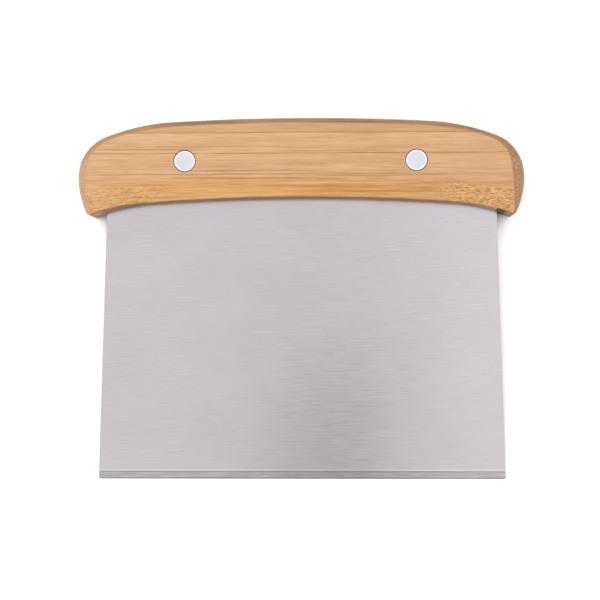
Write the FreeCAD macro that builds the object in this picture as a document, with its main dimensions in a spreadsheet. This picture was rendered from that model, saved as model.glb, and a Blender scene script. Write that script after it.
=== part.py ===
import FreeCAD, Part
import os
import Sketcher
from math import hypot, sqrt

# A bench scraper: a flared steel blade held in a laminated bamboo handle by two cutlery rivets.
# It lies show face up. +X runs along the cutting edge, +Y from the cutting edge to the handle,
# and +Z out of the show face. The origin is the middle of its footprint, at the handle's back face.
# Every piece is drawn about the handle's datum, the middle of its lower edge on the back face,
# and then moved as one to the origin.

Vector = FreeCAD.Vector
doc = FreeCAD.newDocument("bench_scraper")

# Driving dimensions, in millimetres. Heights on the handle are above its datum.
sizes = {
    "handle_overhang": 7.0,
    "handle_height": 29.5,
    "handle_thickness": 17.0,
    "widest_height": 7.8,
    "crown_radius": 895.0,
    "shoulder_radius": 82.0,
    "end_radius": 16.0,
    "tail_radius": 30.0,
    "corner_radius": 1.4,
    "under_radius": 790.0,
    "lip_length": 26.2,
    "lip_radius": 80.0,
    "crown_round": 2.4,
    "left_end_round": 2.9,
    "right_end_round": 4.8,
    "corner_round": 1.1,
    "under_round": 0.7,
    "lower_glue_height": 8.4,
    "middle_glue_height": 16.2,
    "upper_glue_height": 23.8,
    "blade_reach": 105.2,
    "edge_width": 152.4,
    "blade_flare": 3.7,
    "tang_depth": 20.0,
    "blade_thickness": 1.2,
    "blade_corner_radius": 0.6,
    "bevel_height": 2.9,
    "edge_land": 0.3,
    "slot_gap": 0.05,
    "slot_end_gap": 0.4,
    "rivet_pitch": 86.2,
    "rivet_height": 13.4,
    "head_diameter": 8.0,
    "head_thickness": 1.6,
    "head_rim_round": 0.3,
    "head_recess": 0.1,
    "head_gap": 0.1,
    "tube_diameter": 5.0,
    "tube_end_gap": 1.6,
    "tube_hole_gap": 0.05,
    "blade_hole_gap": 0.2,
    "pin_diameter": 3.2,
    "pin_tip_gap": 4.6,
    "pin_gap": 0.02,
    "bore_floor": 1.0,
}

sheet = doc.addObject("Spreadsheet::Sheet", "Sizes")
for row, (name, value) in enumerate(sizes.items(), start=1):
    sheet.set(f"A{row}", name)
    sheet.set(f"B{row}", str(value))
    sheet.setAlias(f"B{row}", name)
doc.recompute()

# The handle is longer than the cutting edge at both ends, and the tang narrower.
handle_length = "(Sizes.edge_width + 2 * Sizes.handle_overhang)"
tang_width = "(Sizes.edge_width - 2 * Sizes.blade_flare)"

# Where the datum sits in the frame, so that the footprint is centred on the origin.
datum_y = "(Sizes.blade_reach - Sizes.handle_height) / 2"

rivet_places = {"left": "-Sizes.rivet_pitch / 2", "right": "Sizes.rivet_pitch / 2"}


def size(name):
    return float(sheet.get(name))


def place(piece, x="0", y="0", z="0"):
    """Bind a piece's position, given from the datum."""
    piece.setExpression("Placement.Base.x", x)
    piece.setExpression("Placement.Base.y", f"{datum_y} + {y}")
    piece.setExpression("Placement.Base.z", z)


def bind(piece, **expressions):
    for name, expression in expressions.items():
        piece.setExpression(name, expression)


def new_sketch(body, name, plane):
    """A sketch on one of the body's own origin planes."""
    sketch = body.newObject("Sketcher::SketchObject", name)
    origin_plane = next(item for item in body.Origin.OriginFeatures if item.Role == plane)
    sketch.AttachmentSupport = [(origin_plane, "")]
    sketch.MapMode = "FlatFace"
    return sketch


def drive(sketch, constraint, expression):
    """Add a dimension to a sketch and bind it to the sheet."""
    index = sketch.addConstraint(constraint)
    sketch.setExpression(f"Constraints[{index}]", expression)


def mirrored(point):
    return (-point[0], point[1])


def bowed_arc(start, end, radius):
    """The shallow arc from start to end that bulges to the right of the way between them."""
    run_x, run_y = end[0] - start[0], end[1] - start[1]
    chord = hypot(run_x, run_y)
    bulge = radius - sqrt(max(radius**2 - chord**2 / 4, 0))
    middle_x = (start[0] + end[0]) / 2 + run_y / chord * bulge
    middle_y = (start[1] + end[1]) / 2 - run_x / chord * bulge
    return Part.Arc(Vector(*start, 0), Vector(middle_x, middle_y, 0), Vector(*end, 0))


def polygon(sketch, points):
    """A closed run of lines, and the index of each."""
    corners = [Vector(x, y, 0) for x, y in points]
    lines = []
    for start, end in zip(corners, corners[1:] + corners[:1]):
        lines.append(sketch.addGeometry(Part.LineSegment(start, end), False))
    for line, following in zip(lines, lines[1:] + lines[:1]):
        sketch.addConstraint(Sketcher.Constraint("Coincident", line, 2, following, 1))
    return lines


# Handle outline, twelve tangent arcs. START, END and CENTRE name a point of an arc;
# arcs run anticlockwise, so on the right half they climb from the lower edge to the crown.
START, END, CENTRE = 1, 2, 3
ORIGIN, Y_AXIS = -1, -2


def draw_outline(sketch):
    half = size("edge_width") / 2 + size("handle_overhang")
    top = size("handle_height")
    widest = size("widest_height")
    # Rough places of the joints on the right half, near enough for the constraints to settle.
    crown_reach = 0.58 * half
    corner_inset = 6
    crown_end = (crown_reach, top - crown_reach**2 / 2 / size("crown_radius"))
    shoulder_end = (half - 10, (crown_end[1] + widest) / 2 + 5)
    widest_point = (half, widest)
    lip_start = half - size("lip_length")
    lip_run = size("lip_length") - corner_inset
    lip_slope = lip_start / size("under_radius")
    under_end = (lip_start, -lip_start * lip_slope / 2)
    lip_drop = lip_run * lip_slope + lip_run**2 / 2 / size("lip_radius")
    lip_end = (half - corner_inset, under_end[1] - lip_drop)
    tail_end = (half - 3.4, lip_end[1] + 1)
    joints = {
        "under": (under_end, mirrored(under_end)),
        "crown": (crown_end, mirrored(crown_end)),
        "right_lip": (lip_end, under_end),
        "right_corner": (lip_end, tail_end),
        "right_tail": (tail_end, widest_point),
        "right_end": (widest_point, shoulder_end),
        "right_shoulder": (shoulder_end, crown_end),
    }
    for name in ("lip", "corner", "tail", "end", "shoulder"):
        start, end = joints[f"right_{name}"]
        joints[f"left_{name}"] = (mirrored(end), mirrored(start))
    arcs = {}
    for name, (start, end) in joints.items():
        radius = size(name.split("_")[-1] + "_radius")
        arcs[name] = sketch.addGeometry(bowed_arc(start, end, radius), False)

    tangents = [
        ("right_lip", START, "right_corner", START),
        ("right_corner", END, "right_tail", START),
        ("right_tail", END, "right_end", START),
        ("right_end", END, "right_shoulder", START),
        ("right_shoulder", END, "crown", START),
        ("crown", END, "left_shoulder", START),
        ("left_shoulder", END, "left_end", START),
        ("left_end", END, "left_tail", START),
        ("left_tail", END, "left_corner", START),
        ("left_corner", END, "left_lip", END),
        ("left_lip", START, "under", END),
        ("under", START, "right_lip", END),
    ]
    for first, first_point, second, second_point in tangents:
        joint = Sketcher.Constraint("Tangent", arcs[first], first_point, arcs[second], second_point)
        sketch.addConstraint(joint)
    for name, arc in arcs.items():
        radius_name = name.split("_")[-1] + "_radius"
        drive(sketch, Sketcher.Constraint("Radius", arc, size(radius_name)), f"Sizes.{radius_name}")

    # The crown and the underside are centred, and the underside passes through the datum.
    sketch.addConstraint(Sketcher.Constraint("PointOnObject", arcs["crown"], CENTRE, Y_AXIS))
    sketch.addConstraint(Sketcher.Constraint("PointOnObject", arcs["under"], CENTRE, Y_AXIS))
    sketch.addConstraint(Sketcher.Constraint("PointOnObject", ORIGIN, START, arcs["under"]))
    crown_depth = size("crown_radius") - top
    crown = Sketcher.Constraint("DistanceY", arcs["crown"], CENTRE, ORIGIN, START, crown_depth)
    drive(sketch, crown, "Sizes.crown_radius - Sizes.handle_height")
    right_lip = Sketcher.Constraint("DistanceX", ORIGIN, START, arcs["under"], START, lip_start)
    left_lip = Sketcher.Constraint("DistanceX", arcs["under"], END, ORIGIN, START, lip_start)
    drive(sketch, right_lip, f"{handle_length} / 2 - Sizes.lip_length")
    drive(sketch, left_lip, f"{handle_length} / 2 - Sizes.lip_length")

    # The widest points, where the end arcs stand upright.
    right, left = arcs["right_tail"], arcs["left_tail"]
    right_reach = Sketcher.Constraint("DistanceX", ORIGIN, START, right, END, half)
    left_reach = Sketcher.Constraint("DistanceX", left, START, ORIGIN, START, half)
    drive(sketch, right_reach, f"{handle_length} / 2")
    drive(sketch, left_reach, f"{handle_length} / 2")
    for tail, point in ((right, END), (left, START)):
        height = Sketcher.Constraint("DistanceY", ORIGIN, START, tail, point, widest)
        drive(sketch, height, "Sizes.widest_height")
        sketch.addConstraint(Sketcher.Constraint("Horizontal", tail, point, tail, CENTRE))
    return arcs


def make_handle_block():
    """The handle's outline, padded to its thickness."""
    body = doc.addObject("PartDesign::Body", "HandleBlock")
    outline = new_sketch(body, "HandleOutline", "XY_Plane")
    arcs = draw_outline(outline)
    pad = body.newObject("PartDesign::Pad", "HandlePad")
    pad.Profile = outline
    bind(pad, Length="Sizes.handle_thickness")
    place(body)
    doc.recompute()
    return body, outline, arcs


def ends_near(edge, point):
    """Whether the edge's first end is the nearer one to a point."""
    first = edge.valueAt(edge.FirstParameter)
    last = edge.valueAt(edge.LastParameter)
    return first.distanceToPoint(point) < last.distanceToPoint(point)


def round_handle(block, outline, arcs):
    """Round both outlines. The hand-sanded ends are fuller, and the right one most of all."""
    crown, corner, under = size("crown_round"), size("corner_round"), size("under_round")
    left, right = size("left_end_round"), size("right_end_round")
    # Each arc's round where the arc starts and where it ends.
    rounds = {
        "crown": (crown, crown),
        "under": (under, under),
        "right_lip": (under, under),
        "right_corner": (under, corner),
        "right_tail": (corner, right),
        "right_end": (right, crown),
        "right_shoulder": (crown, crown),
        "left_shoulder": (crown, crown),
        "left_end": (crown, left),
        "left_tail": (left, corner),
        "left_corner": (corner, under),
        "left_lip": (under, under),
    }
    shape = block.Shape
    edges = []
    for name, (at_start, at_end) in rounds.items():
        arc = outline.Geometry[arcs[name]].toShape()
        middle = arc.valueAt((arc.FirstParameter + arc.LastParameter) / 2)
        for height in (0, size("handle_thickness")):
            shift = Vector(0, block.Placement.Base.y, height)
            start = outline.getPoint(arcs[name], START) + shift
            target = Part.Vertex(middle + shift)
            gaps = [edge.distToShape(target)[0] for edge in shape.Edges]
            number = gaps.index(min(gaps))
            first, last = at_start, at_end
            if not ends_near(shape.Edges[number], start):
                first, last = at_end, at_start
            edges.append((number + 1, first, last))
    rounded = doc.addObject("Part::Fillet", "RoundedBlock")
    rounded.Base = block
    rounded.Edges = edges
    return rounded


def make_cylinder(name, radius, height, x, z):
    cylinder = doc.addObject("Part::Cylinder", name)
    bind(cylinder, Radius=radius, Height=height)
    place(cylinder, x, "Sizes.rivet_height", z)
    return cylinder


# The tapered outline that the blade and its slot share, in the middle plane of the handle.
def draw_taper(sketch, gap="0"):
    """A flared outline from the cutting edge to the tang's end, wider all round by a gap."""
    half_edge = size("edge_width") / 2
    half_tang = half_edge - size("blade_flare")
    reach, depth = size("blade_reach"), size("tang_depth")
    corners = [(-half_edge, -reach), (half_edge, -reach), (half_tang, depth), (-half_tang, depth)]
    edge, _, top, _ = polygon(sketch, corners)
    widths = (
        (edge, START, END, 2 * half_edge, "Sizes.edge_width"),
        (top, END, START, 2 * half_tang, tang_width),
    )
    for line, left, right, width, rule in widths:
        middle = Sketcher.Constraint("Symmetric", line, left, line, right, Y_AXIS)
        sketch.addConstraint(middle)
        length = Sketcher.Constraint("DistanceX", line, left, line, right, width)
        drive(sketch, length, f"{rule} + 2 * {gap}")
    down = Sketcher.Constraint("DistanceY", edge, START, ORIGIN, START, reach)
    up = Sketcher.Constraint("DistanceY", ORIGIN, START, top, START, depth)
    drive(sketch, down, "Sizes.blade_reach")
    drive(sketch, up, f"Sizes.tang_depth + {gap}")


def make_slot():
    """The space sawn out of the handle for the blade's tang."""
    body = doc.addObject("PartDesign::Body", "Slot")
    outline = new_sketch(body, "SlotOutline", "XY_Plane")
    draw_taper(outline, "Sizes.slot_end_gap")
    pad = body.newObject("PartDesign::Pad", "SlotPad")
    pad.Profile = outline
    pad.Midplane = True
    bind(pad, Length="Sizes.blade_thickness + 2 * Sizes.slot_gap")
    place(body, z="Sizes.handle_thickness / 2")
    return body


def make_rivet_holes():
    """A shank hole with a counterbore at each face, for each rivet."""
    holes = []
    shank = "Sizes.tube_diameter / 2 + Sizes.tube_hole_gap"
    seat = "Sizes.head_diameter / 2 + Sizes.head_gap"
    seat_depth = "Sizes.head_thickness + Sizes.head_recess"
    for side, x in rivet_places.items():
        holes.append(make_cylinder(f"{side}Hole", shank, "Sizes.handle_thickness", x, "0"))
        holes.append(make_cylinder(f"{side}BackSeat", seat, seat_depth, x, "0"))
        front = f"Sizes.handle_thickness - ({seat_depth})"
        holes.append(make_cylinder(f"{side}FrontSeat", seat, seat_depth, x, front))
    return holes


def make_strips(block):
    """The bamboo strips that the handle is glued up from, parted at the glue lines."""
    glue_lines = [f"Sizes.{joint}_glue_height" for joint in ("lower", "middle", "upper")]
    bottoms = ["-Sizes.blade_reach"] + glue_lines
    tops = glue_lines + ["Sizes.handle_height + Sizes.crown_round"]
    names = ["handle_lower_strip", "handle_middle_strip", "handle_upper_strip", "handle_crown_strip"]
    strips = []
    for name, bottom, top in zip(names, bottoms, tops):
        slab = doc.addObject("Part::Box", f"{name}_slab")
        bind(slab, Length=handle_length, Width=f"{top} - ({bottom})")
        bind(slab, Height="Sizes.handle_thickness")
        place(slab, f"-{handle_length} / 2", bottom)
        strip = doc.addObject("Part::Common", name)
        strip.Label = name
        strip.Base = block
        strip.Tool = slab
        strips.append(strip)
    return strips


def draw_bevels(sketch):
    """Two slivers beside the cutting edge, seen along it: what grinding takes off each face."""
    half = size("blade_thickness") / 2
    half_land = size("edge_land") / 2
    foot = -size("blade_reach")
    top = foot + size("bevel_height")
    for side in (1, -1):
        triangle = [(foot, side * half_land), (foot, side * half), (top, side * half)]
        land, face, slope = polygon(sketch, triangle)
        sketch.addConstraint(Sketcher.Constraint("Vertical", land))
        sketch.addConstraint(Sketcher.Constraint("Horizontal", face))
        down = Sketcher.Constraint("DistanceX", land, START, ORIGIN, START, -foot)
        drive(sketch, down, "Sizes.blade_reach")
        along = Sketcher.Constraint("DistanceX", face, START, face, END, top - foot)
        drive(sketch, along, "Sizes.bevel_height")
        for point, name in ((START, "edge_land"), (END, "blade_thickness")):
            ends = (ORIGIN, START, land, point) if side == 1 else (land, point, ORIGIN, START)
            offset = Sketcher.Constraint("DistanceY", *ends, size(name) / 2)
            drive(sketch, offset, f"Sizes.{name} / 2")


def draw_blade_holes(sketch):
    radius = size("tube_diameter") / 2 + size("blade_hole_gap")
    half_pitch = size("rivet_pitch") / 2
    height = size("rivet_height")
    for side in (1, -1):
        centre = Vector(side * half_pitch, height, 0)
        hole = sketch.addGeometry(Part.Circle(centre, Vector(0, 0, 1), radius), False)
        drive(sketch, Sketcher.Constraint("Radius", hole, radius),
              "Sizes.tube_diameter / 2 + Sizes.blade_hole_gap")
        ends = (ORIGIN, START, hole, CENTRE) if side == 1 else (hole, CENTRE, ORIGIN, START)
        drive(sketch, Sketcher.Constraint("DistanceX", *ends, half_pitch), "Sizes.rivet_pitch / 2")
        across = Sketcher.Constraint("DistanceY", ORIGIN, START, hole, CENTRE, height)
        drive(sketch, across, "Sizes.rivet_height")


def make_blade():
    """A stamped plate, ground to a bevel on both faces, with its lower corners eased."""
    body = doc.addObject("PartDesign::Body", "blade")
    body.Label = "blade"
    outline = new_sketch(body, "BladeOutline", "XY_Plane")
    draw_taper(outline)
    plate = body.newObject("PartDesign::Pad", "BladePlate")
    plate.Profile = outline
    plate.Midplane = True
    bind(plate, Length="Sizes.blade_thickness")
    doc.recompute()

    foot = -size("blade_reach")
    corners = []
    for number, edge in enumerate(plate.Shape.Edges, start=1):
        box = edge.BoundBox
        if box.YLength < 0.01 and box.XLength < 0.01 and abs(box.YMin - foot) < 0.01:
            corners.append(f"Edge{number}")
    eased = body.newObject("PartDesign::Fillet", "BladeCorners")
    eased.Base = (plate, corners)
    bind(eased, Radius="Sizes.blade_corner_radius")

    bevel_section = new_sketch(body, "BevelSection", "YZ_Plane")
    draw_bevels(bevel_section)
    bevels = body.newObject("PartDesign::Pocket", "Bevels")
    bevels.Profile = bevel_section
    bevels.Midplane = True
    bind(bevels, Length="2 * Sizes.edge_width")

    hole_plan = new_sketch(body, "BladeHolePlan", "XY_Plane")
    draw_blade_holes(hole_plan)
    holes = body.newObject("PartDesign::Pocket", "BladeHoles")
    holes.Profile = hole_plan
    holes.Midplane = True
    bind(holes, Length="2 * Sizes.blade_thickness")
    place(body, z="Sizes.handle_thickness / 2")
    doc.recompute()
    return body


# A rivet half is a turned piece, drawn as half its section: its axis is the sketch's Y axis,
# its head's flat is on the X axis, and its shank stands up from the head.
def draw_rivet_section(sketch, shank_radius, shank_top, bore_radius=None, bore_bottom=None):
    head = size("head_diameter") / 2
    thick = size("head_thickness")
    shank, shank_rule = shank_radius
    top, top_rule = shank_top
    points = [(0, 0), (head, 0), (head, thick), (shank, thick), (shank, top)]
    rules = [
        ("DistanceX", 1, "Sizes.head_diameter / 2"),
        ("DistanceY", 2, "Sizes.head_thickness"),
        ("DistanceX", 3, shank_rule),
        ("DistanceY", 4, top_rule),
    ]
    upright = [1, 3]
    level = [0, 2, 4]
    if bore_radius is None:
        points.append((0, top))
    else:
        bore, bore_rule = bore_radius
        floor, floor_rule = bore_bottom
        points += [(bore, top), (bore, floor), (0, floor)]
        rules += [("DistanceX", 5, bore_rule), ("DistanceY", 6, floor_rule)]
        upright.append(5)
        level.append(6)
    lines = polygon(sketch, points)
    upright.append(len(points) - 1)
    for index in upright:
        sketch.addConstraint(Sketcher.Constraint("Vertical", lines[index]))
    for index in level:
        sketch.addConstraint(Sketcher.Constraint("Horizontal", lines[index]))
    sketch.addConstraint(Sketcher.Constraint("Coincident", lines[0], START, ORIGIN, START))
    for kind, index, rule in rules:
        value = points[index][0] if kind == "DistanceX" else points[index][1]
        dimension = Sketcher.Constraint(kind, ORIGIN, START, lines[index], START, value)
        drive(sketch, dimension, rule)


def make_rivet_half(name, x, front, **section):
    """One turned half of a rivet, with its head at the front face or at the back face."""
    body = doc.addObject("PartDesign::Body", name)
    body.Label = name
    sketch = new_sketch(body, f"{name}_section", "XZ_Plane")
    draw_rivet_section(sketch, **section)
    turned = body.newObject("PartDesign::Revolution", f"{name}_turned")
    turned.Profile = sketch
    turned.ReferenceAxis = (sketch, ["V_Axis"])
    turned.Angle = 360
    doc.recompute()
    head = size("head_diameter") / 2
    rims = []
    for number, edge in enumerate(turned.Shape.Edges, start=1):
        box = edge.BoundBox
        if abs(box.ZMax) < 0.01 and abs(box.XLength - 2 * head) < 0.01:
            rims.append(f"Edge{number}")
    rim = body.newObject("PartDesign::Fillet", f"{name}_rim")
    rim.Base = (turned, rims)
    bind(rim, Radius="Sizes.head_rim_round")
    if front:
        body.Placement.Rotation = FreeCAD.Rotation(Vector(1, 0, 0), 180)
        place(body, x, "Sizes.rivet_height", "Sizes.handle_thickness - Sizes.head_recess")
    else:
        place(body, x, "Sizes.rivet_height", "Sizes.head_recess")
    return body


def make_rivets():
    """Each rivet is a tube with a head, closed from behind by a pin with a head."""
    head = size("head_thickness")
    # How far a shank could reach, from its own head's flat to the other head's inner side.
    span = size("handle_thickness") - 2 * size("head_recess") - head
    span_rule = "Sizes.handle_thickness - 2 * Sizes.head_recess - Sizes.head_thickness"
    tube = {
        "shank_radius": (size("tube_diameter") / 2, "Sizes.tube_diameter / 2"),
        "shank_top": (span - size("tube_end_gap"), f"{span_rule} - Sizes.tube_end_gap"),
        "bore_radius": (size("pin_diameter") / 2, "Sizes.pin_diameter / 2"),
        "bore_bottom": (head + size("bore_floor"), "Sizes.head_thickness + Sizes.bore_floor"),
    }
    pin = {
        "shank_radius": (
            size("pin_diameter") / 2 - size("pin_gap"),
            "Sizes.pin_diameter / 2 - Sizes.pin_gap",
        ),
        "shank_top": (span - size("pin_tip_gap"), f"{span_rule} - Sizes.pin_tip_gap"),
    }
    halves = []
    for side, x in rivet_places.items():
        halves.append(make_rivet_half(f"{side}_rivet_tube", x, True, **tube))
        halves.append(make_rivet_half(f"{side}_rivet_pin", x, False, **pin))
    return halves


block, outline, arcs = make_handle_block()
rounded = round_handle(block, outline, arcs)
cuts = doc.addObject("Part::MultiFuse", "HandleCuts")
cuts.Shapes = [make_slot()] + make_rivet_holes()
drilled = doc.addObject("Part::Cut", "DrilledBlock")
drilled.Base = rounded
drilled.Tool = cuts
pieces = make_strips(drilled) + [make_blade()] + make_rivets()
doc.recompute()

for item in doc.Objects:
    if "Invalid" in item.State or "Error" in item.State:
        raise RuntimeError(f"{item.Label} failed: {item.State}")
for piece in pieces:
    if piece.Shape.isNull() or not piece.Shape.isValid() or len(piece.Shape.Solids) != 1:
        raise RuntimeError(f"{piece.Label} is not one sound solid")

os.makedirs("parts", exist_ok=True)
for piece in pieces:
    piece.Shape.exportStep(f"parts/{piece.Label}.step")
    print(f"{piece.Label}: {piece.Shape.Volume:.1f} mm3")
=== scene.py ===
import math

import bmesh
import bpy
from mathutils import Matrix, Vector


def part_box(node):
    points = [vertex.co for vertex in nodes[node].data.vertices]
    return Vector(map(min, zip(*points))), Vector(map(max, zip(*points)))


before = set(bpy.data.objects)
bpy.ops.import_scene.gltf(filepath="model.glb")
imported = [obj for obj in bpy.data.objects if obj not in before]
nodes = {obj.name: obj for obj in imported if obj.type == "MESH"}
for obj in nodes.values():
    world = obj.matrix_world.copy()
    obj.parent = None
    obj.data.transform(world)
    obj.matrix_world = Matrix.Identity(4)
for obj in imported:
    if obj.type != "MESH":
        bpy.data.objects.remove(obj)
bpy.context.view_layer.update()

# A bench scraper lying on its back on a pale table: bamboo handle, brushed blade, two rivets.
# Places and lamps are in metres, and the finishes' patterns in millimetres.
# +X runs along the cutting edge, +Y from the edge to the handle, +Z up.
mm = 0.001
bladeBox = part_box("blade")
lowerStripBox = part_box("handle_lower_strip")
print("frame loaded:", ", ".join(sorted(nodes)))


class Wire:
    # One socket of a material, with the arithmetic that the finishes use.
    def __init__(self, finish, socket):
        self.finish = finish
        self.socket = socket

    def math(self, operation, *values):
        return self.finish.node("Math", {"operation": operation}, list(values))["Value"]

    def __add__(self, other):
        return self.math("ADD", self, other)

    __radd__ = __add__

    def __mul__(self, other):
        return self.math("MULTIPLY", self, other)

    __rmul__ = __mul__

    def __sub__(self, other):
        return self.math("SUBTRACT", self, other)

    def __rsub__(self, other):
        return self.math("SUBTRACT", other, self)

    def __truediv__(self, other):
        return self.math("DIVIDE", self, other)

    def __pow__(self, other):
        return self.math("POWER", self, other)

    def __abs__(self):
        return self.math("ABSOLUTE", self)

    def clamped(self):
        return self.math("MAXIMUM", self.math("MINIMUM", self, 1.0), 0.0)

    def greater(self, other):
        return self.math("MAXIMUM", self, other)

    def rising(self, low, high):
        # 0 below low, 1 above high, eased between.
        sockets = {"Value": self, "From Min": low, "From Max": high}
        return self.finish.node("MapRange", {"interpolation_type": "SMOOTHSTEP"}, sockets)["Result"]

    def band(self, centre, halfWidth):
        # 1 at centre, falling to 0 at halfWidth from it.
        return 1 - abs(self - centre).rising(0.0, halfWidth)


class Finish:
    # The nodes of a material, or of the world.
    def __init__(self, owner):
        self.owner = owner
        self.owner.use_nodes = True
        self.tree = owner.node_tree

    def node(self, kind, settings=None, inputs=None):
        # Settings first, then socket values or links, by name or in order.
        new = self.tree.nodes.new("ShaderNode" + kind)
        for key, value in (settings or {}).items():
            setattr(new, key, value)
        pairs = inputs.items() if isinstance(inputs, dict) else enumerate(inputs or [])
        for key, value in pairs:
            self.feed(new.inputs[key], value)
        return {socket.name: Wire(self, socket) for socket in new.outputs if socket.enabled}

    def feed(self, socket, value):
        if isinstance(value, Wire):
            self.tree.links.new(value.socket, socket)
        elif isinstance(value, (tuple, list)) and len(value) == 3 and socket.type == "RGBA":
            socket.default_value = (*value, 1.0)
        else:
            socket.default_value = value

    def set(self, values):
        # Values or links for the material's own shader.
        shader = self.tree.nodes["Principled BSDF"]
        for name, value in values.items():
            self.feed(shader.inputs[name], value)

    def places(self):
        # Position on the object in millimetres, as three values.
        position = self.node("TexCoord")["Object"]
        split = self.node("SeparateXYZ", None, [position])
        return [split[axis] / mm for axis in "XYZ"]

    def point(self, x, y, z):
        return self.node("CombineXYZ", None, [x, y, z])["Vector"]

    def noise(self, vector, detail=2.0, roughness=0.5, distortion=0.0):
        sockets = {"Vector": vector, "Scale": 1.0, "Detail": detail, "Roughness": roughness}
        return self.node("TexNoise", None, {**sockets, "Distortion": distortion})["Fac"]

    def mix(self, factor, first, second):
        settings = {"data_type": "RGBA", "clamp_factor": True}
        # A colour mix has its factor at socket 0 and its two colours at 6 and 7.
        return self.node("Mix", settings, {0: factor, 6: first, 7: second})["Result"]

    def bump(self, height, distance, strength):
        sockets = {"Height": height, "Distance": distance, "Strength": strength}
        return self.node("Bump", None, sockets)["Normal"]


def tone(red, green, blue):
    # A colour as a paint chart gives it, 0 to 255, made linear.
    def linear(part):
        part = part / 255
        return part / 12.92 if part <= 0.04045 else ((part + 0.055) / 1.055) ** 2.4
    return (linear(red), linear(green), linear(blue))


def newFinish(name):
    return Finish(bpy.data.materials.new(name))


def give(node, finish):
    slots = nodes[node].data.materials
    slots.clear()
    slots.append(finish.owner)


bamboo = {
    "glueHalfWidth": 0.3,
    "glueTone": tone(128, 84, 44),
    "glueReach": [0.75, 0.9, 0.7],      # how strong each line is, from the lowest
    "fleckTone": tone(150, 98, 48),
    "fleckLight": tone(240, 190, 132),
    # the end tones: left end painted lighter, right end painted darker, as painted light and shade
    "leftEndLitTone": tone(196, 164, 128),
    "rightEndShadedTone": tone(190, 148, 112),
    "endFleckTone": tone(146, 104, 74),
    "sandedTone": tone(156, 112, 74),     # where the sanded end meets the face
    # the flat of each end: darker end grain, with painted shade along the outline
    "rimTone": tone(150, 128, 104),
    # the crown's wall: side grain in painted shade
    "crownEdgeShadeDark": tone(146, 104, 70),
    "crownEdgeShadeLight": tone(178, 136, 96),
    # the underside: painted shade in the recess over the blade
    "undersideShadeTone": tone(158, 118, 84),
    # a dark ring round each rivet head, painted shade of the gap
    "rivetRingShadeTone": tone(158, 132, 98),
    # painted shade in the corner under the handle beside the blade
    "bladeCornerShadeTone": tone(52, 30, 20),
    "roughness": 0.56,
    "specular": 0.3,
    "poreStrength": 0.55,
    "growthLineStrength": 0.6,
    "fleckedFrom": (46, 60),              # flecks start and are full this far along, either way
    "fleckedBelow": (1.5, 4.2),           # full and gone at these heights over the lowest glue line
    "endStrength": 0.85,
    "crownShadeStrength": 0.92,
    "undersideShadeStrength": 0.9,
    "bladeCornerShadeStrength": 0.9,
    "rivetRingShadeReach": (4.0, 4.5),              # painted shade starts under the head's rim and ends here
    "rivetRingShadeStrength": 0.7,
    "grainDepth": 0.03,
}
strips = {
    "handle_crown_strip": {"light": tone(212, 169, 124), "dark": tone(190, 144, 97), "seed": 3.1},
    "handle_upper_strip": {"light": tone(222, 180, 136), "dark": tone(194, 150, 103), "seed": 7.7},
    "handle_middle_strip": {"light": tone(220, 176, 134), "dark": tone(192, 146, 100), "seed": 12.9},
    "handle_lower_strip": {"light": tone(219, 170, 112), "dark": tone(182, 127, 66), "seed": 21.3},
}
# Single darker or lighter growth lines: height above the lowest glue line, half width,
# the middle of the line along the handle, half its length, and its colour.
growthLines = [
    (9.3, 0.5, -58, 28, tone(158, 108, 66)),
    (10.3, 0.35, -40, 34, tone(166, 116, 70)),
    (8.7, 0.5, 12, 30, tone(176, 128, 66)),
    (1.3, 0.4, -22, 34, tone(160, 112, 66)),
    (-1.4, 0.45, -20, 44, tone(168, 104, 48)),
    (-0.6, 0.35, 30, 40, tone(176, 118, 62)),
    (-4.5, 0.8, 16, 30, tone(190, 134, 42)),
    (-3.3, 0.6, 14, 34, tone(238, 186, 136)),
    (-5.6, 0.5, -26, 36, tone(226, 170, 92)),
    (-6.5, 0.35, 22, 26, tone(186, 100, 48)),
    (-7.4, 0.4, -10, 48, tone(230, 182, 112)),
]
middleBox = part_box("handle_middle_strip")
lowestGlue = middleBox[0][1] / mm
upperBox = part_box("handle_upper_strip")
glueHeights = [0.0, middleBox[1][1] / mm - lowestGlue, upperBox[1][1] / mm - lowestGlue]
tangHalf = 73.0   # half the blade's width where it enters the handle, in millimetres
rivetCentres = []
for side in ("left", "right"):
    low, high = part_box(f"{side}_rivet_tube")
    rivetCentres.append([(low[axis] + high[axis]) / 2 / mm for axis in (0, 1)])


def makeWood(finish, name, look, x, y, z):
    # Fibres run along the handle: fine ones, short streaks, then broad soft bands.
    seed = look["seed"]
    fine = finish.noise(finish.point(x / 9 + seed, y / 0.42, z / 0.5), 2.0, 0.6)
    streak = finish.noise(finish.point(x / 30 + seed, y / 0.7 + seed, z / 1.2), 3.0, 0.6)
    broad = finish.noise(finish.point(x / 90, y / 2.6 + seed, z / 4.0), 2.0, 0.5)
    cloud = finish.noise(finish.point(x / 22 + seed, y / 12, z / 9 + seed), 2.0)
    grain = (fine - 0.5) * 1.7 + (streak - 0.5) * 1.2 + (broad - 0.5) * 0.8 + (cloud - 0.5) * 0.6 + 0.6
    colour = finish.mix(grain.clamped(), look["dark"], look["light"])
    if name == "handle_lower_strip":
        # Its wood is as pale as its neighbour's at first, and warms towards the lower edge.
        neighbour = strips["handle_middle_strip"]
        paler = finish.mix(grain.clamped(), neighbour["dark"], neighbour["light"])
        down = (y - lowestGlue) * -1
        warmth = (down + (broad - 0.5) * 4).rising(0.0, 3.4) * (1 - abs(x).rising(52, 80) * 0.5)
        colour = finish.mix(warmth, paler, colour)
    return colour, fine, streak


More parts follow.
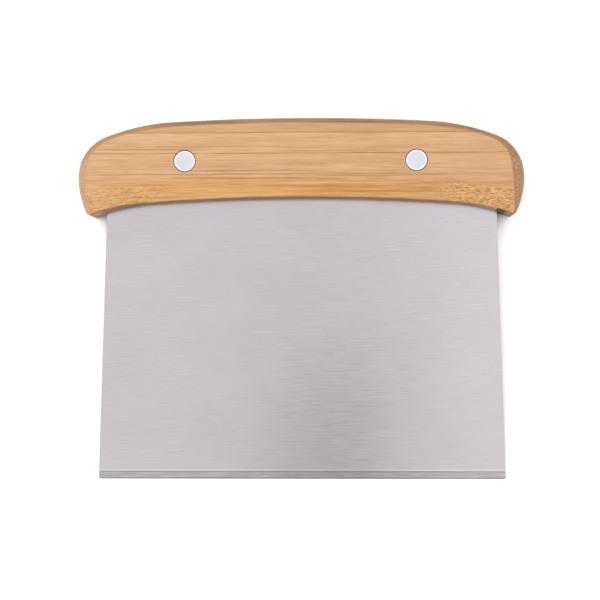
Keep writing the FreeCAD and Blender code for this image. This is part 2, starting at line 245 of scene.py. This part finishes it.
def addGrowthLines(finish, look, x, y, z, colour):
    # Long thin pores everywhere, and the single lines of the list.
    seed = look["seed"]
    up = y - lowestGlue
    pores = finish.noise(finish.point(x / 45 - seed, y / 0.42 + seed, z / 0.9), 1.0)
    colour = finish.mix(pores.rising(0.58, 0.68) * bamboo["poreStrength"], colour, look["dark"])
    drift = (finish.noise(finish.point(x / 30, seed, 0.0), 1.0) - 0.5) * 1.2
    for height, halfWidth, middle, halfLength, lineTone in growthLines:
        along = 1 - abs(x - middle).rising(halfLength * 0.35, halfLength)
        across = (up + drift * 0.5).band(height, halfWidth)
        colour = finish.mix(along * across * bamboo["growthLineStrength"], colour, lineTone)
    return colour, pores


def addGlueLines(finish, seed, x, y, z, colour):
    # The lines between the strips are uneven along their length.
    wander = finish.noise(finish.point(x / 16, seed, z / 20), 3.0).rising(0.35, 0.62)
    glue = 0.0
    for height, reach in zip(glueHeights, bamboo["glueReach"]):
        glue = (y - lowestGlue).band(height, bamboo["glueHalfWidth"]) * reach + glue
    glue = glue * (wander * 0.55 + 0.35)
    return finish.mix(glue.clamped(), colour, bamboo["glueTone"]), glue


def addFlecks(finish, seed, x, y, z, colour):
    # The bundles of the cane show as flecks where the lower corners cut across the fibres.
    slant = y - lowestGlue + abs(x) * 0.11
    corner = abs(x).rising(*bamboo["fleckedFrom"]) * (1 - slant.rising(*bamboo["fleckedBelow"]))
    dash = finish.noise(finish.point(x / 1.5 + seed, y / 0.48 + abs(x) * 0.12, z / 0.6), 1.0, 0.4, 0.4)
    dark = 1 - dash.rising(0.36, 0.46)
    stronger = x.rising(-20, 20) * 0.25 + 0.35
    colour = finish.mix(corner * dark * stronger, colour, bamboo["fleckTone"])
    colour = finish.mix(corner * dash.rising(0.56, 0.66) * stronger, colour, bamboo["fleckLight"])
    return colour, dark * corner


def addEndGrain(finish, seed, x, y, z, normal, colour):
    # Bundle ends on wood that has taken up more oil. The right end shows them more. The left end's tone is
    # painted lighter and the right end's darker: painted light and shade of a light from the left.
    dots = finish.noise(finish.point(x / 1.6, y / 0.6 + seed, z / 0.6), 2.0, 0.6)
    for side, endTone in ((1, "rightEndShadedTone"), (-1, "leftEndLitTone")):
        facing = normal["X"] * side
        dotted = (1 - dots.rising(0.38, 0.6)) * (0.35 + (side + 1) * 0.25)
        endColour = finish.mix(dotted, bamboo[endTone], bamboo["endFleckTone"])
        colour = finish.mix(facing.rising(0.03, 0.2) * bamboo["endStrength"], colour, endColour)
        sanded = facing.band(0.16, 0.14) * (0.15 + (side + 1) * 0.2)
        colour = finish.mix(sanded, colour, bamboo["sandedTone"])
        # The flat of each end, at the handle's outline, is darker: darker end grain, with painted shade
        # along the outline.
        colour = finish.mix(facing.rising(0.75, 0.98) * 0.5, colour, bamboo["rimTone"])
    return colour


def addWalls(finish, seed, x, y, z, normal, streak, colour):
    # The wall over the crown is the strip's side face, with fibres along it, in tones painted darker than
    # the face: painted shade, as it faces away from the light.
    sideGrain = finish.noise(finish.point(x / 26, y / 3, z / 0.55 + seed), 3.0, 0.6)
    shadedWall = finish.mix(sideGrain.rising(0.3, 0.7), bamboo["crownEdgeShadeDark"], bamboo["crownEdgeShadeLight"])
    facingUp = (normal["Y"] + (streak - 0.5) * 0.12).rising(0.08, 0.32)
    crownShadeMask = facingUp * (1 - abs(x).rising(50, 72) * 0.5)
    colour = finish.mix(crownShadeMask * bamboo["crownShadeStrength"], colour, shadedWall)
    # The hollowed underside is painted darker: painted shade in the recess over the blade.
    undersideShadeMask = (normal["Y"] * -1).rising(0.8, 0.99) * (1 - sideGrain.rising(0.3, 0.8) * 0.3)
    undersideShade = undersideShadeMask * (1 - abs(x).rising(50, 74) * 0.7) * bamboo["undersideShadeStrength"]
    colour = finish.mix(undersideShade, colour, bamboo["undersideShadeTone"])
    # Painted shade on the underside close beside the blade, most of it on the right: a near-black patch
    # standing for the shadow in the corner by the blade's edge.
    rightCornerShade = (1 - (x - tangHalf).rising(1.2, 4.2)) * x.rising(0.0, 1.0)
    beside = rightCornerShade + (1 - (x * -1 - tangHalf).rising(0.0, 1.6)) * 0.4
    cornerShade = beside * abs(x).rising(tangHalf - 0.5, tangHalf) * (normal["Y"] * -1).rising(0.3, 0.8)
    return finish.mix(cornerShade.clamped() * bamboo["bladeCornerShadeStrength"], colour, bamboo["bladeCornerShadeTone"])


def addRivetRingShade(finish, x, y, colour):
    # A dark ring on the wood round each rivet head: painted shade of the gap round the head.
    for centreX, centreY in rivetCentres:
        across, along = x - centreX, y - centreY
        reach = (across * across + along * along) ** 0.5
        ring = (1 - reach.rising(*bamboo["rivetRingShadeReach"])) * bamboo["rivetRingShadeStrength"]
        colour = finish.mix(ring, colour, bamboo["rivetRingShadeTone"])
    return colour


def makeBamboo(name, look):
    finish = newFinish(name.replace("handle", "bamboo"))
    x, y, z = finish.places()
    seed = look["seed"]
    normal = finish.node("SeparateXYZ", None, [finish.node("NewGeometry")["Normal"]])
    colour, fine, streak = makeWood(finish, name, look, x, y, z)
    colour, pores = addGrowthLines(finish, look, x, y, z, colour)
    colour, glue = addGlueLines(finish, seed, x, y, z, colour)
    colour, pits = addFlecks(finish, seed, x, y, z, colour)
    colour = addEndGrain(finish, seed, x, y, z, normal, colour)
    colour = addWalls(finish, seed, x, y, z, normal, streak, colour)
    colour = addRivetRingShade(finish, x, y, colour)
    rough = (fine - 0.5) * 0.12 + bamboo["roughness"]
    height = fine * 0.6 + pores * 0.4 - pits * 0.5 - glue * 0.6
    grainBump = finish.bump(height, bamboo["grainDepth"] * mm, 0.8)
    finish.set({"Base Color": colour, "Roughness": rough, "Normal": grainBump})
    finish.set({"Specular IOR Level": bamboo["specular"]})
    return finish


for name, look in strips.items():
    give(name, makeBamboo(name, look))
print("bamboo finished")


steel = {
    "light": tone(190, 185, 189),
    "dark": tone(173, 168, 172),
    "bevelTone": tone(173, 170, 175),
    "bevelDark": tone(152, 150, 155),
    "bevelLine": tone(128, 126, 132),
    "ridgeLight": tone(204, 200, 204),
    "bevelHeight": 2.9,
    "roughness": 0.2,
    "brushDepth": 0.012,
}


def makeSteel():
    finish = newFinish("brushed_steel")
    x, y, z = finish.places()
    up = y - bladeBox[0][1] / mm
    # Brushing runs along the cutting edge.
    brush = finish.noise(finish.point(x / 6, y / 0.16, z), 3.0, 0.65)
    streak = finish.noise(finish.point(x / 9, y / 0.5, z), 2.0, 0.6)
    cloud = finish.noise(finish.point(x / 30, y / 22, z), 2.0)
    scratch = finish.noise(finish.point(x / 16 + y / 6, y / 0.7 - x / 9, z), 1.0)
    shade = (brush - 0.5) * 0.6 + (streak - 0.5) * 0.9 + (cloud - 0.5) * 0.6 + 0.5
    colour = finish.mix(shade.clamped(), steel["dark"], steel["light"])
    colour = finish.mix(scratch.rising(0.68, 0.76) * 0.25, colour, steel["ridgeLight"])
    # The ground bevel, with a bright burr above it and a dull line at its top and foot.
    top = steel["bevelHeight"]
    waver = (cloud - 0.5) * 0.3
    ridge = (up + waver).band(top + 0.45, 0.4)
    colour = finish.mix(ridge * 0.6, colour, steel["ridgeLight"])
    ground = finish.mix(streak.rising(0.3, 0.7), steel["bevelDark"], steel["bevelTone"])
    colour = finish.mix(1 - up.rising(top - 0.1, top + 0.05), colour, ground)
    dull = up.band(top - 0.2, 0.35).greater(1 - up.rising(0.35, 0.7))
    colour = finish.mix(dull * 0.7, colour, steel["bevelLine"])
    rough = (streak - 0.5) * 0.1 + steel["roughness"]
    height = brush * 0.7 + streak * 0.3
    normalBump = finish.bump(height, steel["brushDepth"] * mm, 0.6)
    finish.set({"Base Color": colour, "Roughness": rough, "Normal": normalBump, "Metallic": 1.0})
    return finish


give("blade", makeSteel())
print("steel finished")


rivet = {
    "tone": tone(202, 202, 209),
    # a painted highlight round the head's rim
    "rimTone": tone(222, 222, 228),
    # painted shade at the head's very edge, and the tone of the real mottle
    "edgeTone": tone(196, 196, 194),
    "headRadius": 4.0,
    "roughness": 0.32,
    "turningDepth": 0.012,
}


def makeRivetFinish(side, centre):
    finish = newFinish(f"{side}_rivet_aluminium")
    x, y, z = finish.places()
    across, along = x - centre[0], y - centre[1]
    radius = (across * across + along * along) ** 0.5
    turned = finish.noise(finish.point(radius / 0.14, 0.0, z / 0.5), 2.0)
    mottle = finish.noise(finish.point(x / 0.7, y / 0.7, z), 3.0)
    rim = rivet["headRadius"]
    # A bright ring just inside the head's edge: painted highlight of the rim catching the light.
    colour = finish.mix(radius.band(rim - 0.5, 0.45), rivet["tone"], rivet["rimTone"])
    # A thin grey line at the head's very edge: painted shade where the head meets its hole.
    colour = finish.mix(radius.rising(rim - 0.15, rim), colour, rivet["edgeTone"])
    colour = finish.mix(mottle.rising(0.55, 0.75) * 0.12, colour, rivet["edgeTone"])
    rough = (turned - 0.5) * 0.1 + rivet["roughness"]
    normalBump = finish.bump(turned * 0.5 + mottle * 0.5, rivet["turningDepth"] * mm, 0.4)
    finish.set({"Base Color": colour, "Roughness": rough, "Normal": normalBump, "Metallic": 1.0})
    return finish


for side, centre in zip(("left", "right"), rivetCentres):
    finish = makeRivetFinish(side, centre)
    give(f"{side}_rivet_tube", finish)
    give(f"{side}_rivet_pin", finish)
print("rivets finished")


studio = {
    "floorHalf": 0.9,
    "floorTone": (0.93, 0.93, 0.93),
    "contactShadowTone": (0.25, 0.25, 0.25),
    "floorGlow": 0.4,
    "contactReach": 0.012,
    "worldFill": 0.54,
    "ceilingHeight": 1.0,
    "keyPower": 4.0,
    "keySize": 0.6,
    "keyPlace": (-0.9, 0.1, 0.9),
    "lens": 96,
    "sensorWidth": 36,
    "cameraPlace": (0.0198, -0.0154, 0.6091),
    "cameraTurn": (1.430, 1.936, -0.073),   # degrees
    "restRound": 1.2,   # how far the flat of the handle's back starts above its corners
}
# Ceiling panels: middle across, middle along, width, depth, glow.
# The gap between them is where a person stands.
panels = {
    "left_panel": (-0.485, 0.0, 0.88, 1.8, 0.74),
    "right_panel": (0.485, 0.0, 0.86, 1.8, 0.88),
    "back_panel": (0.005, 0.43, 0.1, 0.94, 0.6),
}


def makeTable():
    # The tool rests on its handle's back and on the blade's lower face, just above the bevel.
    handleY = lowerStripBox[0][1] + studio["restRound"] * mm
    bladeY = bladeBox[0][1] + steel["bevelHeight"] * mm
    slope = math.atan2(bladeBox[0][2], handleY - bladeY)
    sheet = bmesh.new()
    bmesh.ops.create_grid(sheet, x_segments=1, y_segments=1, size=studio["floorHalf"])
    turn = Matrix.Rotation(-slope, 4, "X")
    bmesh.ops.transform(sheet, matrix=Matrix.Translation((0, handleY, 0)) @ turn, verts=sheet.verts)
    mesh = bpy.data.meshes.new("table")
    sheet.to_mesh(mesh)
    sheet.free()
    table = bpy.data.objects.new("table", mesh)
    bpy.context.scene.collection.objects.link(table)
    finish = newFinish("table_white")
    finish.set({"Roughness": 0.9, "Specular IOR Level": 0.1, "Emission Strength": studio["floorGlow"]})
    # The glow stays out of the tight corners under the tool, so contact shadows stay dark.
    shelter = finish.node("AmbientOcclusion", {"samples": 8}, {"Distance": studio["contactReach"]})["AO"]
    glow = finish.mix(shelter.rising(0.25, 0.8), (0, 0, 0), (1, 1, 1))
    # The floor's own colour is painted dark in the same corners: painted contact shadow.
    paint = finish.mix(shelter.rising(0.1, 0.6), studio["contactShadowTone"], studio["floorTone"])
    finish.set({"Base Color": paint, "Emission Color": glow})
    mesh.materials.append(finish.owner)


def makeWorld():
    # The camera sees plain white, and the tool gets a dimmer even fill.
    world = bpy.data.worlds.new("studio")
    bpy.context.scene.world = world
    finish = Finish(world)
    finish.tree.nodes.clear()
    white = (1, 1, 1)
    seen = finish.node("Background", None, {"Color": white})["Background"]
    fill = finish.node("Background", None, {"Color": white, "Strength": studio["worldFill"]})["Background"]
    direct = finish.node("LightPath")["Is Camera Ray"]
    either = finish.node("MixShader", None, [direct, fill, seen])["Shader"]
    finish.node("OutputWorld", None, {"Surface": either})


def makeLamp(name, place, width, depth, power, aim):
    light = bpy.data.lights.new(name, "AREA")
    light.shape = "RECTANGLE"
    light.size = width
    light.size_y = depth
    light.energy = power
    lamp = bpy.data.objects.new(name, light)
    lamp.location = place
    lamp.rotation_euler = (Vector(aim) - Vector(place)).to_track_quat("-Z", "Y").to_euler()
    bpy.context.scene.collection.objects.link(lamp)


def makeLights():
    for name, (x, y, width, depth, glow) in panels.items():
        power = glow * math.pi * width * depth
        makeLamp(name, (x, y, studio["ceilingHeight"]), width, depth, power, (x, y, 0))
    size = studio["keySize"]
    makeLamp("key", studio["keyPlace"], size, size, studio["keyPower"], (0, 0, 0))


def makeCamera():
    camera = bpy.data.cameras.new("camera")
    camera.lens = studio["lens"]
    camera.sensor_width = studio["sensorWidth"]
    eye = bpy.data.objects.new("camera", camera)
    eye.location = studio["cameraPlace"]
    eye.rotation_euler = [math.radians(turn) for turn in studio["cameraTurn"]]
    bpy.context.scene.collection.objects.link(eye)
    bpy.context.scene.camera = eye


makeTable()
makeWorld()
makeLights()
makeCamera()
bpy.context.scene.view_settings.view_transform = "Standard"
print("studio ready")
